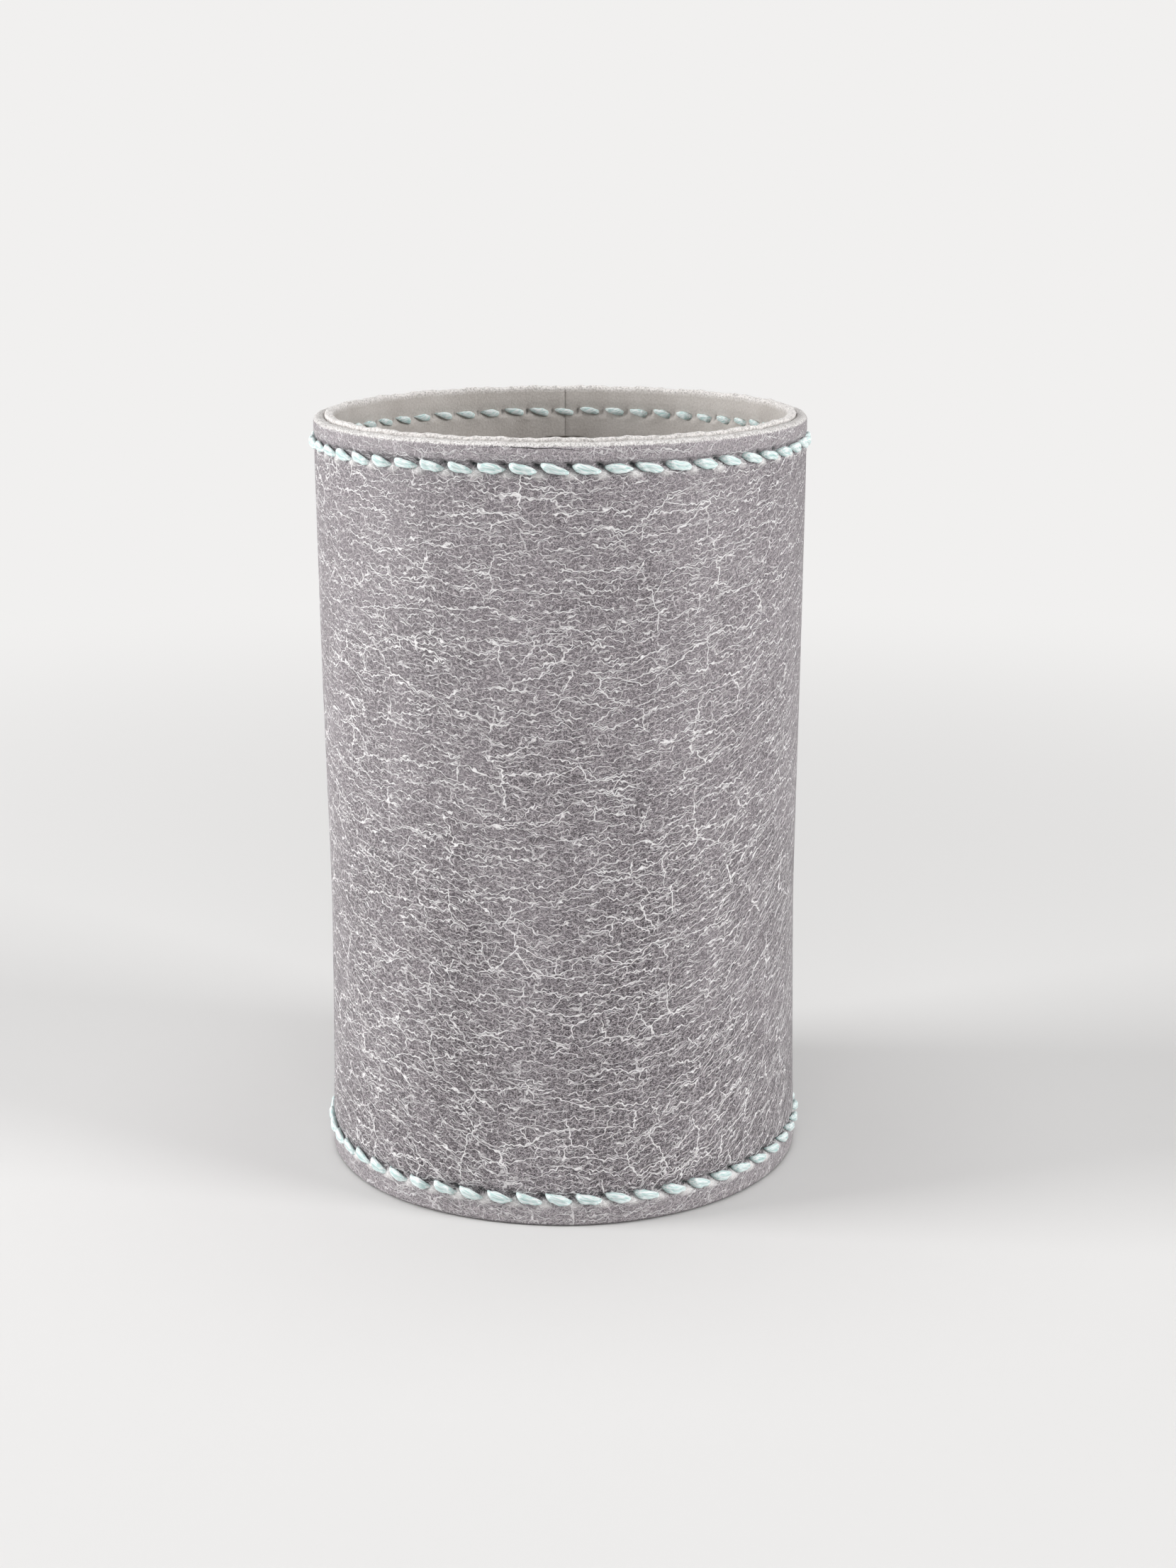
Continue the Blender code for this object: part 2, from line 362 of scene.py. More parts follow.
leather = wrap_strip("leather_strip", leather_section, 12 * STITCHES, 1, 0.07)
lining = wrap_strip("lining_strip", lining_section, 8 * STITCHES, -1, 0.14)
print("strips wrapped:", len(leather.data.vertices), "and", len(lining.data.vertices), "points")

# %% [markdown]
# ## The window in the lining
# Behind the lacing the maker cut the lining away, so that the thread lies flush inside.
# A block with rounded corners is cut out of the wrapped lining with a Boolean modifier.

# %% Cut the window
WINDOW_WIDE, WINDOW_INSET, WINDOW_CORNER, BLOCK_DEEP = 9.0, 7.0, 2.5, 8
bpy.ops.object.select_all(action="DESELECT")
bpy.ops.mesh.primitive_cube_add(size=1, location=(0, 30 * MM, HEIGHT / 2 * MM))
block = bpy.context.object
block.scale = (WINDOW_WIDE * MM, BLOCK_DEEP * MM, (HEIGHT - 2 * WINDOW_INSET) * MM)
bpy.ops.object.transform_apply(location=True, rotation=False, scale=True)
bpy.ops.object.mode_set(mode="EDIT")
bpy.ops.mesh.select_all(action="DESELECT")
bpy.ops.object.mode_set(mode="OBJECT")
for corner in block.data.edges:
    first, last = (block.data.vertices[i].co for i in corner.vertices)
    corner.select = abs(first.y - last.y) > 0.5 * BLOCK_DEEP * MM
bpy.ops.object.mode_set(mode="EDIT")
bpy.ops.mesh.select_mode(type="EDGE")
bpy.ops.mesh.bevel(offset=WINDOW_CORNER * MM, segments=8)
bpy.ops.object.mode_set(mode="OBJECT")
only(lining)
cut = lining.modifiers.new("window", "BOOLEAN")
cut.operation, cut.solver, cut.object = "DIFFERENCE", "EXACT", block
bpy.ops.object.modifier_apply(modifier=cut.name)
bpy.data.objects.remove(block)
print("lining after its window:", len(lining.data.vertices), "points")

# %% [markdown]
# ## Crackled leather
# The hide is vegetable-tanned, waxed and then bent until its finish cracks. It could be
# painted as a picture, but noise and cell textures stay sharp at any size. So the finish
# is built from them, a cell for each of its traits: how the grain hangs, fine lines, long
# cracks, the dye, and the places that thread and knife have worked. Shade is painted in
# too: beside the cracks, in the pits, in a crease under the rim, where the leather meets
# the lining and at the foot; and a painted light makes the wall lighter towards the top.
# Every one of them is a number from 0 to 1, and at the end a colour is painted over where
# each is high.

# %% Helpers for finishes


def start_finish(name):
    """A new material, its nodes and its shader."""
    finish = bpy.data.materials.new(name)
    finish.use_nodes = True
    return finish, finish.node_tree, finish.node_tree.nodes["Principled BSDF"]


def layered(tree, ground, layers):
    """Paint one colour after another over a ground, each where its factor says."""
    for factor, colour in layers:
        ground = add_node(
            tree, "ShaderNodeMix", {0: factor, 6: ground, 7: colour}, data_type="RGBA"
        ).outputs[2]
    return ground


# %% [markdown]
# The grain does not run level. It hangs like a cloth that is held up at the back: level
# at the front, rising to both sides, and more so low down and on the right. The place on
# the flat strip, which the mesh carries, is bent that way, and then by noise: broadly for
# the fine lines, and once more finely for the cracks. So all patterns hang alike.

# %% How the grain hangs
CELL_WIDE, CELL_HIGH = 0.88, 0.56       # of the fine cracks' cells, in mm
RIM_CELL_WIDE, RIM_CELL_HIGH = 0.50, 0.80
PATTERN_START = 137.3                   # where the patterns are read, see below

waxed_leather, tree, shader = start_finish("grey_veg_tan_leather_waxed_and_crackled")
place = add_node(tree, "ShaderNodeAttribute", attribute_name="strip").outputs["Vector"]
pit = add_node(tree, "ShaderNodeAttribute", attribute_name="pit").outputs["Fac"]
fold = add_node(tree, "ShaderNodeAttribute", attribute_name="fold").outputs["Fac"]
across, height, depth = add_node(tree, "ShaderNodeSeparateXYZ", {0: place}).outputs

round_turn = add_node(
    tree, "ShaderNodeMath", {0: across, 1: math.pi / 100}, operation="MULTIPLY"
).outputs[0]
rise = add_node(tree, "ShaderNodeMath", {0: round_turn}, operation="COSINE").outputs[0]
lift = add_node(tree, "ShaderNodeMath", {0: 1.0, 1: rise}, operation="SUBTRACT").outputs[0]
sideways = add_node(tree, "ShaderNodeMath", {0: round_turn}, operation="SINE").outputs[0]
uneven = add_node(
    tree, "ShaderNodeMath", {0: sideways, 1: 0.35, 2: 0.65}, operation="MULTIPLY_ADD"
).outputs[0]
much = add_node(
    tree, "ShaderNodeMapRange", {0: height, 1: 10.0, 2: 95.0, 3: 28.0, 4: 9.0}
).outputs[0]
hang = add_node(tree, "ShaderNodeMath", {0: lift, 1: uneven}, operation="MULTIPLY").outputs[0]
hang = add_node(tree, "ShaderNodeMath", {0: hang, 1: much}, operation="MULTIPLY").outputs[0]
level = add_node(tree, "ShaderNodeMath", {0: height, 1: hang}, operation="SUBTRACT").outputs[0]
# Every noise has a line of its grid at nought, which would show as an upright line
# down the front, so the patterns are read far from it.
far = add_node(tree, "ShaderNodeMath", {0: across, 1: PATTERN_START}, operation="ADD").outputs[0]
hung = add_node(tree, "ShaderNodeCombineXYZ", {0: far, 1: level}).outputs[0]
bends = [hung]
for scale, detail, reach in ((0.50, 2.0, (1.2, 0.75, 0.0)), (1.6, 0.0, (0.5, 0.55, 0.0))):
    wander = add_node(
        tree,
        "ShaderNodeTexNoise",
        {"Vector": hung, "Scale": scale, "Detail": detail, "Roughness": 0.5},
        noise_dimensions="2D",
    ).outputs["Color"]
    push = add_node(
        tree, "ShaderNodeVectorMath", {0: wander, 1: (0.5, 0.5, 0.5)}, operation="SUBTRACT"
    ).outputs[0]
    bends.append(
        add_node(
            tree,
            "ShaderNodeVectorMath",
            {0: push, 1: reach, 2: bends[-1]},
            operation="MULTIPLY_ADD",
        ).outputs[0]
    )
bent, jagged = bends[1:]

# Above the upper row the grain is drawn out upwards, so its cells stand there.
above = add_node(
    tree, "ShaderNodeMapRange", {0: height, 1: TOP_ROW + 0.6, 2: TOP_ROW + 0.9}
).outputs[0]
stretch = add_node(
    tree,
    "ShaderNodeMix",
    {
        0: above,
        4: (1 / CELL_WIDE, 1 / CELL_HIGH, 0.0),
        5: (1 / RIM_CELL_WIDE, 1 / RIM_CELL_HIGH, 0.0),
    },
    data_type="VECTOR",
).outputs[1]
cells = add_node(
    tree, "ShaderNodeVectorMath", {0: bent, 1: stretch}, operation="MULTIPLY"
).outputs[0]
print("cells of the fine cracks:", CELL_WIDE, "by", CELL_HIGH, "mm")

# %% [markdown]
# Fine pale lines part the finish into cells of about 0.9 by 0.6 mm. A Voronoi texture
# gives the distance to the nearest cell border, and a line is where that is small. Real
# lines come and go along their length, so a noise fades them and the net is never whole.
# Between its borders run worm-like wrinkles, where a noise passes its middle value.

# %% Fine pale lines
border = add_node(
    tree,
    "ShaderNodeTexVoronoi",
    {"Vector": cells, "Scale": 1.0},
    voronoi_dimensions="2D",
    feature="DISTANCE_TO_EDGE",
).outputs["Distance"]
gone, fleck = (
    add_node(
        tree,
        "ShaderNodeTexNoise",
        {"Vector": hung, "Scale": scale, "Detail": 3.0, "Roughness": 0.7},
        noise_dimensions="2D",
    ).outputs[0]
    for scale in (1.7, 5.0)
)
kept = add_node(
    tree, "ShaderNodeMapRange", {0: gone, 1: 0.40, 2: 0.62, 3: 0.05, 4: 1.0}
).outputs[0]
net = add_node(
    tree,
    "ShaderNodeMapRange",
    {0: border, 1: 0.0, 2: 0.18, 3: 0.9, 4: 0.0},
    interpolation_type="SMOOTHSTEP",
).outputs[0]
net = add_node(tree, "ShaderNodeMath", {0: net, 1: kept}, operation="MULTIPLY").outputs[0]
WRINKLES = ((1.9, 0.042, 1.0), (3.0, 0.046, 0.75))     # noise scale, half width, strength
for scale, width, strength in WRINKLES:
    hills = add_node(
        tree,
        "ShaderNodeTexNoise",
        {"Vector": cells, "Scale": scale, "Detail": 1.5, "Roughness": 0.5},
        noise_dimensions="2D",
    ).outputs[0]
    midway = add_node(tree, "ShaderNodeMath", {0: hills, 1: 0.5}, operation="SUBTRACT").outputs[0]
    midway = add_node(tree, "ShaderNodeMath", {0: midway}, operation="ABSOLUTE").outputs[0]
    line = add_node(
        tree,
        "ShaderNodeMapRange",
        {0: midway, 1: 0.0, 2: width, 3: strength, 4: 0.0},
        interpolation_type="SMOOTHSTEP",
    ).outputs[0]
    net = add_node(tree, "ShaderNodeMath", {0: net, 1: line}, operation="MAXIMUM").outputs[0]
print("fine lines: one net and", len(WRINKLES), "kinds of wrinkle")

# %% [markdown]
# Longer white cracks run mostly along the wrap, some three to thirteen millimetres at a
# time. Level bands give them. Each band has a rank that grows with the level, and noise
# makes it drift, so a crack is the thin line where the rank's fraction passes a half. A
# second noise shows it in patches only. Beside each crack a darker line is painted, as the
# shadow of its relief.

# %% Long white cracks
# Length and height of the bands in mm, half a crack's width, patch threshold, strength
LONG_CRACKS = (
    (13.0, 4.6, 0.115, 0.42, 1.0),
    (8.5, 2.3, 0.105, 0.45, 1.0),
    (6.0, 1.25, 0.092, 0.48, 1.0),
    (2.6, 0.70, 0.092, 0.49, 0.80),
)
cracks = painted_crack_shadows = None
for length, thickness, width, threshold, strength in LONG_CRACKS:
    half_width = width / thickness
    stretched = add_node(
        tree,
        "ShaderNodeVectorMath",
        {0: jagged, 1: (1 / length, 1 / thickness, 0.0)},
        operation="MULTIPLY",
    ).outputs[0]
    rank = add_node(tree, "ShaderNodeSeparateXYZ", {0: stretched}).outputs[1]
    flatter = add_node(
        tree, "ShaderNodeVectorMath", {0: stretched, 1: (1.1, 0.12, 0.0)}, operation="MULTIPLY"
    ).outputs[0]
    drift, patch = (
        add_node(
            tree,
            "ShaderNodeTexNoise",
            {"Vector": vector, "Scale": 1.15, "Detail": 1.0},
            noise_dimensions="2D",
        ).outputs[0]
        for vector in (flatter, stretched)
    )
    rank = add_node(
        tree, "ShaderNodeMath", {0: drift, 1: 1.9, 2: rank}, operation="MULTIPLY_ADD"
    ).outputs[0]
    part = add_node(tree, "ShaderNodeMath", {0: rank}, operation="FRACT").outputs[0]
    away = add_node(tree, "ShaderNodeMath", {0: part, 1: 0.5}, operation="SUBTRACT").outputs[0]
    away = add_node(tree, "ShaderNodeMath", {0: away}, operation="ABSOLUTE").outputs[0]
    near = add_node(
        tree,
        "ShaderNodeMapRange",
        {0: away, 1: 0.2 * half_width, 2: half_width, 3: strength, 4: 0.0},
        interpolation_type="SMOOTHSTEP",
    ).outputs[0]
    here = add_node(
        tree, "ShaderNodeMapRange", {0: patch, 1: threshold, 2: threshold + 0.10}
    ).outputs[0]
    # A painted shadow beside each crack, as its relief would cast.
    beside = add_node(
        tree,
        "ShaderNodeMapRange",
        {0: away, 1: half_width, 2: 2.6 * half_width, 3: 0.30 * strength, 4: 0.0},
    ).outputs[0]
    crack, painted_crack_shadow = (
        add_node(tree, "ShaderNodeMath", {0: part, 1: here}, operation="MULTIPLY").outputs[0]
        for part in (near, beside)
    )
    if cracks is None:
        cracks, painted_crack_shadows = crack, painted_crack_shadow
        continue
    cracks, painted_crack_shadows = (
        add_node(tree, "ShaderNodeMath", {0: so_far, 1: part}, operation="MAXIMUM").outputs[0]
        for so_far, part in ((cracks, crack), (painted_crack_shadows, painted_crack_shadow))
    )
print("long cracks in bands of", [row[:2] for row in LONG_CRACKS], "mm")

# %% [markdown]
# Real cracks branch, and some stand upright. A net of larger cells joins the long ones,
# in patches again and more of it low down. Last, the cracks are beaded by the flecks of
# the hide, and they fade over both rims, where the finish is rubbed.

# %% Coarse net that joins the cracks
# One over the cells' width and height in mm, patch threshold, strength
COARSE_NETS = (((1 / 4.6, 1 / 3.6, 0.0), 0.48, 1.0), ((0.50, 0.58, 0.0), 0.54, 0.6))
for size, threshold, strength in COARSE_NETS:
    coarse = add_node(
        tree, "ShaderNodeVectorMath", {0: jagged, 1: size}, operation="MULTIPLY"
    ).outputs[0]
    edge = add_node(
        tree,
        "ShaderNodeTexVoronoi",
        {"Vector": coarse, "Scale": 1.0},
        voronoi_dimensions="2D",
        feature="DISTANCE_TO_EDGE",
    ).outputs["Distance"]
    near = add_node(
        tree,
        "ShaderNodeMapRange",
        {0: edge, 1: 0.02 * size[1], 2: 0.10 * size[1], 3: strength, 4: 0.0},
        interpolation_type="SMOOTHSTEP",
    ).outputs[0]
    patch = add_node(
        tree,
        "ShaderNodeTexNoise",
        {"Vector": coarse, "Scale": 0.75, "Detail": 1.0},
        noise_dimensions="2D",
    ).outputs[0]
    low = add_node(
        tree, "ShaderNodeMath", {0: height, 1: -0.0010, 2: patch}, operation="MULTIPLY_ADD"
    ).outputs[0]
    here = add_node(
        tree, "ShaderNodeMapRange", {0: low, 1: threshold - 0.04, 2: threshold + 0.04}
    ).outputs[0]
    crack = add_node(tree, "ShaderNodeMath", {0: near, 1: here}, operation="MULTIPLY").outputs[0]
    cracks = add_node(
        tree, "ShaderNodeMath", {0: cracks, 1: crack}, operation="MAXIMUM"
    ).outputs[0]
beaded = add_node(
    tree, "ShaderNodeMapRange", {0: fleck, 1: 0.30, 2: 0.42, 3: 0.75, 4: 1.0}
).outputs[0]
cracks = add_node(tree, "ShaderNodeMath", {0: cracks, 1: beaded}, operation="MULTIPLY").outputs[0]
for ends, share in (((TOP_ROW, TOP_ROW - 0.6), 0.70), ((BOTTOM_ROW, BOTTOM_ROW + 0.8), 0.65)):
    body = add_node(
        tree, "ShaderNodeMapRange", {0: height, 1: ends[0], 2: ends[1], 3: share, 4: 1.0}
    ).outputs[0]
    cracks = add_node(
        tree, "ShaderNodeMath", {0: cracks, 1: body}, operation="MULTIPLY"
    ).outputs[0]
print("coarse nets:", len(COARSE_NETS))

# %% [markdown]
# The hide took its dye unevenly. Clouds of a centimetre or two and faint upright streaks
# from the rolling mix into one shade. A painted light, as from above, makes it a little
# lighter towards the upper rim. A ramp turns that into two mauve greys.

# %% Cloudy dye, and painted light towards the top
dyed = add_node(tree, "ShaderNodeCombineXYZ", {0: far, 1: height}).outputs[0]
streaked = add_node(
    tree, "ShaderNodeVectorMath", {0: dyed, 1: (0.30, 0.022, 0.0)}, operation="MULTIPLY"
).outputs[0]
cloud, streak = (
    add_node(
        tree,
        "ShaderNodeTexNoise",
        {"Vector": vector, "Scale": scale, "Detail": 4.0, "Roughness": 0.6},
        noise_dimensions="2D",
    ).outputs[0]
    for vector, scale in ((place, 0.06), (streaked, 1.0))
)
shade = add_node(
    tree, "ShaderNodeMix", {0: 0.4, 2: cloud, 3: streak}, data_type="FLOAT"
).outputs[0]
# Painted light: the height term makes the wall lighter towards the top, as light from above.
shade = add_node(
    tree, "ShaderNodeMath", {0: height, 1: 0.0036, 2: shade}, operation="MULTIPLY_ADD"
).outputs[0]
ground = add_node(tree, "ShaderNodeValToRGB", {0: shade})
for stop, at, code in zip(ground.color_ramp.elements, (0.52, 0.84), ("3B3439", "746D72")):
    stop.position, stop.color = at, linear(code)
print("nodes with the dye:", len(tree.nodes))

# %% [markdown]
# Dark flecks show in the grain. A tight stitch strains the finish pale beside it, and
# each slit's pit is painted dark, as the shade inside it. The mesh carries how near both
# are, as its numbers fold and pit.

# %% Flecks, strain, and painted shade in the pits
speck = add_node(
    tree, "ShaderNodeMapRange", {0: fleck, 1: 0.51, 2: 0.61, 3: 0.0, 4: 0.75}
).outputs[0]
pale_line = add_node(tree, "ShaderNodeMath", {0: net, 1: 0.95}, operation="MULTIPLY").outputs[0]
pleat = add_node(
    tree, "ShaderNodeMath", {0: net, 1: 0.45, 2: 0.66}, operation="MULTIPLY_ADD"
).outputs[0]
taut = add_node(tree, "ShaderNodeMapRange", {0: fold, 1: 0.10, 2: 0.60}).outputs[0]
strained = add_node(
    tree, "ShaderNodeMath", {0: taut, 1: pleat}, operation="MULTIPLY", use_clamp=True
).outputs[0]
# Painted shade: each slit's pit is painted dark, as the shade inside it.
painted_pit_shade = add_node(
    tree, "ShaderNodeMapRange", {0: pit, 1: 0.30, 2: 0.85, 3: 0.0, 4: 0.92}
).outputs[0]
print("nodes with the marks of the thread:", len(tree.nodes))

# %% [markdown]
# The cut upper edge is raw: pale fibres, and a grey line towards the lining that is partly
# glue and partly painted shade where the two layers meet. On the front a short crease just
# under it is painted dark as its shade. The flesh side shows in the window. The lower edge
# is painted dark as the shade where it rounds under, the joint at the back is a thin
# shadow, and both rims are rubbed paler by hands.

# %% Cut edges, joint and rubbed rims
fuzz = add_node(
    tree, "ShaderNodeTexNoise", {"Vector": place, "Scale": 4.5, "Detail": 3.0, "Roughness": 0.7}
).outputs[0]
ragged = add_node(
    tree, "ShaderNodeMath", {0: fuzz, 1: 0.7, 2: height}, operation="MULTIPLY_ADD"
).outputs[0]
raw = add_node(
    tree, "ShaderNodeMapRange", {0: ragged, 1: LEATHER_TOP - 0.16, 2: LEATHER_TOP + 0.02}
).outputs[0]
fibre = add_node(tree, "ShaderNodeValToRGB", {0: fuzz})
for stop, at, code in zip(fibre.color_ramp.elements, (0.38, 0.54), ("BDB8B5", "FAF7F5")):
    stop.position, stop.color = at, linear(code)
# Where the leather meets the lining: partly a grey line of glue, partly painted shade.
ragged_depth = add_node(
    tree, "ShaderNodeMath", {0: fuzz, 1: 1.2, 2: depth}, operation="MULTIPLY_ADD"
).outputs[0]
glue_and_painted_shade = add_node(
    tree, "ShaderNodeMapRange", {0: ragged_depth, 1: 1.72, 2: 1.92, 3: 0.0, 4: 0.8}
).outputs[0]
# Painted shade: a short crease under the rim at the front is painted as a dark line.
below = add_node(
    tree, "ShaderNodeMath", {0: cloud, 1: 2.0, 2: height}, operation="MULTIPLY_ADD"
).outputs[0]
below = add_node(
    tree, "ShaderNodeMath", {0: below, 1: LEATHER_TOP + 0.30}, operation="SUBTRACT"
).outputs[0]
below = add_node(tree, "ShaderNodeMath", {0: below}, operation="ABSOLUTE").outputs[0]
from_front = add_node(tree, "ShaderNodeMath", {0: across, 1: 3.0}, operation="ADD").outputs[0]
from_front = add_node(tree, "ShaderNodeMath", {0: from_front}, operation="ABSOLUTE").outputs[0]
slim = add_node(
    tree, "ShaderNodeMapRange", {0: from_front, 1: 1.0, 2: 7.0, 3: 0.075, 4: 0.0}
).outputs[0]
painted_crease_shade = add_node(
    tree, "ShaderNodeMath", {0: below, 1: slim}, operation="LESS_THAN"
).outputs[0]
flesh = add_node(
    tree, "ShaderNodeMapRange", {0: height, 1: HEIGHT - 1.5, 2: HEIGHT - 2.5}
).outputs[0]
flesh = add_node(tree, "ShaderNodeMath", {0: flesh, 1: glue_and_painted_shade}, operation="MULTIPLY").outputs[0]
# Painted shade: the lowest edge, where it rounds under, is painted dark.
painted_foot_shade = add_node(
    tree, "ShaderNodeMapRange", {0: height, 1: 0.12, 2: 0.42, 3: 0.85, 4: 0.0}
).outputs[0]
JOINT = FLAT_RADIUS * math.pi           # half way round the wall, in mm
from_middle = add_node(tree, "ShaderNodeMath", {0: across}, operation="ABSOLUTE").outputs[0]
seam = add_node(
    tree,
    "ShaderNodeMapRange",
    {0: from_middle, 1: JOINT - 0.30, 2: JOINT - 0.08, 3: 0.0, 4: 0.85},
).outputs[0]
over = add_node(
    tree, "ShaderNodeMapRange", {0: height, 1: TOP_ROW - 0.3, 2: TOP_ROW + 0.5}
).outputs[0]
under = add_node(
    tree, "ShaderNodeMapRange", {0: height, 1: BOTTOM_ROW + 0.3, 2: BOTTOM_ROW - 0.8}
).outputs[0]
rubbed = add_node(tree, "ShaderNodeMath", {0: over, 1: under}, operation="MAXIMUM").outputs[0]
rubbed = add_node(tree, "ShaderNodeMath", {0: rubbed, 1: 0.40}, operation="MULTIPLY").outputs[0]
print("nodes with the edges:", len(tree.nodes))

# %% [markdown]
# Now the colours go on, one over another, in the order in which they lie on the hide.
# Waxed leather has an IOR of about 1.5 and is half matt. The bump gives the lines a
# relief of a tenth of a millimetre, which catches the light.

# %% Paint the leather
painted = layered(
    tree,
    ground.outputs[0],
    (
        (rubbed, linear("BEB6BA")),
        (speck, linear("342F32")),
        (pale_line, linear("D8D0D4")),
        # painted shadow beside the cracks
        (painted_crack_shadows, linear("3E383C")),
        (cracks, linear("FFFCFD")),
        (strained, linear("F8F6F5")),
        # painted shade in the pits, the lacing's holes and the joint
        (painted_pit_shade, linear("333D3C")),
        (seam, linear("332F31")),
        # painted shade of the crease under the rim
        (painted_crease_shade, linear("3A3536")),
        (raw, fibre.outputs[0]),
        # glue line and painted shade where the layers meet
        (glue_and_painted_shade, linear("6E6966")),
        (flesh, linear("CFC6BE")),
        # painted shade under the lower edge
        (painted_foot_shade, linear("454142")),
    ),
)
tree.links.new(painted, shader.inputs["Base Color"])

rough = add_node(
    tree, "ShaderNodeMapRange", {0: fleck, 1: 0.3, 2: 0.7, 3: 0.40, 4: 0.52}
).outputs[0]
tree.links.new(rough, shader.inputs["Roughness"])
grain = add_node(
    tree, "ShaderNodeMath", {0: net, 1: 0.7, 2: cracks}, operation="MULTIPLY_ADD"
).outputs[0]
bump = add_node(tree, "ShaderNodeBump", {"Height": grain, "Strength": 0.7, "Distance": 0.00011})
tree.links.new(bump.outputs[0], shader.inputs["Normal"])
shader.inputs["IOR"].default_value = 1.5
finish_piece(leather, "leather_wall", waxed_leather, "grey_crackled_leather", "outer_leather")

# %% [markdown]
# ## Suede lining
# The lining is a split: leather's fibrous under-layer, with a soft nap and no grain. Its
# look is all in small, soft colour changes and a high roughness. The cut upper edge is
# paler, because the fibres are fresh there.

# %% Suede
suede, tree, shader = start_finish("pale_suede_split_leather")
place = add_node(tree, "ShaderNodeAttribute", attribute_name="strip")
pit = add_node(tree, "ShaderNodeAttribute", attribute_name="pit")
parts = add_node(tree, "ShaderNodeSeparateXYZ", {0: place.outputs["Vector"]})
nap = add_node(
    tree,
    "ShaderNodeTexNoise",
    {"Vector": place.outputs["Vector"], "Scale": 3.2, "Detail": 4.0, "Roughness": 0.7},
)
brushed = add_node(
    tree,
    "ShaderNodeTexNoise",
    {"Vector": place.outputs["Vector"], "Scale": 0.12, "Detail": 3.0},
)
mixed = add_node(
    tree,
    "ShaderNodeMix",
    {0: 0.45, 2: nap.outputs[0], 3: brushed.outputs[0]},
    data_type="FLOAT",
)
tone = add_node(tree, "ShaderNodeValToRGB", {0: mixed.outputs[0]})
for stop, at, code in zip(tone.color_ramp.elements, (0.35, 0.62), ("B9B2AC", "D8D3CE")):
    stop.position, stop.color = at, linear(code)
rim = add_node(
    tree, "ShaderNodeMapRange", {0: parts.outputs[1], 1: HEIGHT - 0.9, 2: HEIGHT - 0.3}
)
fibre = add_node(tree, "ShaderNodeValToRGB", {0: nap.outputs[0]})
for stop, at, code in zip(fibre.color_ramp.elements, (0.36, 0.56), ("B4AFAC", "F4F0ED")):
    stop.position, stop.color = at, linear(code)
edged = add_node(
    tree,
    "ShaderNodeMix",
    {0: rim.outputs[0], 6: tone.outputs[0], 7: fibre.outputs[0]},
    data_type="RGBA",
)
# Painted shade: the lining's slots are painted dark, as the shade inside them.
painted_pit_shade = add_node(
    tree, "ShaderNodeMapRange", {0: pit.outputs["Fac"], 1: 0.3, 2: 0.8, 3: 0.0, 4: 0.8}
)
with_painted_slot_shade = add_node(
    tree,
    "ShaderNodeMix",
    {0: painted_pit_shade.outputs[0], 6: edged.outputs[2], 7: linear("3A3A39")},
    data_type="RGBA",
)
tree.links.new(with_painted_slot_shade.outputs[2], shader.inputs["Base Color"])
bump = add_node(
    tree, "ShaderNodeBump", {"Height": nap.outputs[0], "Strength": 0.7, "Distance": 0.00012}
)
tree.links.new(bump.outputs[0], shader.inputs["Normal"])
shader.inputs["Roughness"].default_value = 0.95
shader.inputs["Sheen Weight"].default_value = 0.25
shader.inputs["Sheen Roughness"].default_value = 0.5
finish_piece(lining, "suede_lining", suede, "pale_suede_lining", "lining")

# %% [markdown]
# ## Fibres on the cut edges
# Scissors leave the edges of both layers fuzzy. Each fibre is a thin three-sided spike
# of a few faces, made once and copied a couple of thousand times along the two edges,
# leaning every way.

# %% Fibres
FIBRES = 2300
FIBRE_RADIUS = 31            # roughly where both cut edges are
bpy.ops.object.select_all(action="DESELECT")
bpy.ops.mesh.primitive_cone_add(vertices=3, radius1=1.0, radius2=0.25, depth=1.0)
spike = bpy.context.object
bpy.ops.object.mode_set(mode="EDIT")
bpy.ops.mesh.select_all(action="SELECT")
bpy.ops.mesh.bisect(plane_co=(0, 0, 0.0), plane_no=(0, 0, 1))
bpy.ops.object.mode_set(mode="OBJECT")
shape = points_of(spike)
shape[:, 2] += 0.5
faces = [tuple(face.vertices) for face in spike.data.polygons]
bpy.data.objects.remove(spike)

chance = np.random.default_rng(21)
all_points, all_faces = [], []
for number in range(FIBRES):
    angle = chance.uniform(-math.pi + 0.01, math.pi - 0.01)
    outer = number % 2 == 0
    depth = chance.uniform(0.35, 1.3) if outer else chance.uniform(1.55, 2.4)
    base = LEATHER_TOP - 0.2 if outer else HEIGHT - 0.25
    length, thick = chance.uniform(0.2, 0.45), chance.uniform(0.016, 0.03)
    lean = chance.normal(0, 0.55, 2)
    curl = chance.normal(0, 0.35, 2)
    up = shape[:, 2]
    across = shape[:, 0] * thick + length * (lean[0] * up + curl[0] * up**2)
    out = shape[:, 1] * thick + length * (lean[1] * up + curl[1] * up**2)
    radius = wall_radius(base) - depth + np.clip(out, -0.25, 0.25)
    height = base + length * up * 0.75
    all_faces += [tuple(i + len(all_points) * len(shape) for i in face) for face in faces]
    all_points.append(on_wall(angle + across / FIBRE_RADIUS, radius, height))
fuzz_mesh = bpy.data.meshes.new("edge_fibres")
fuzz_mesh.from_pydata(np.concatenate(all_points).tolist(), [], all_faces)
fibres = bpy.data.objects.new("edge_fibres", fuzz_mesh)
bpy.context.scene.collection.objects.link(fibres)

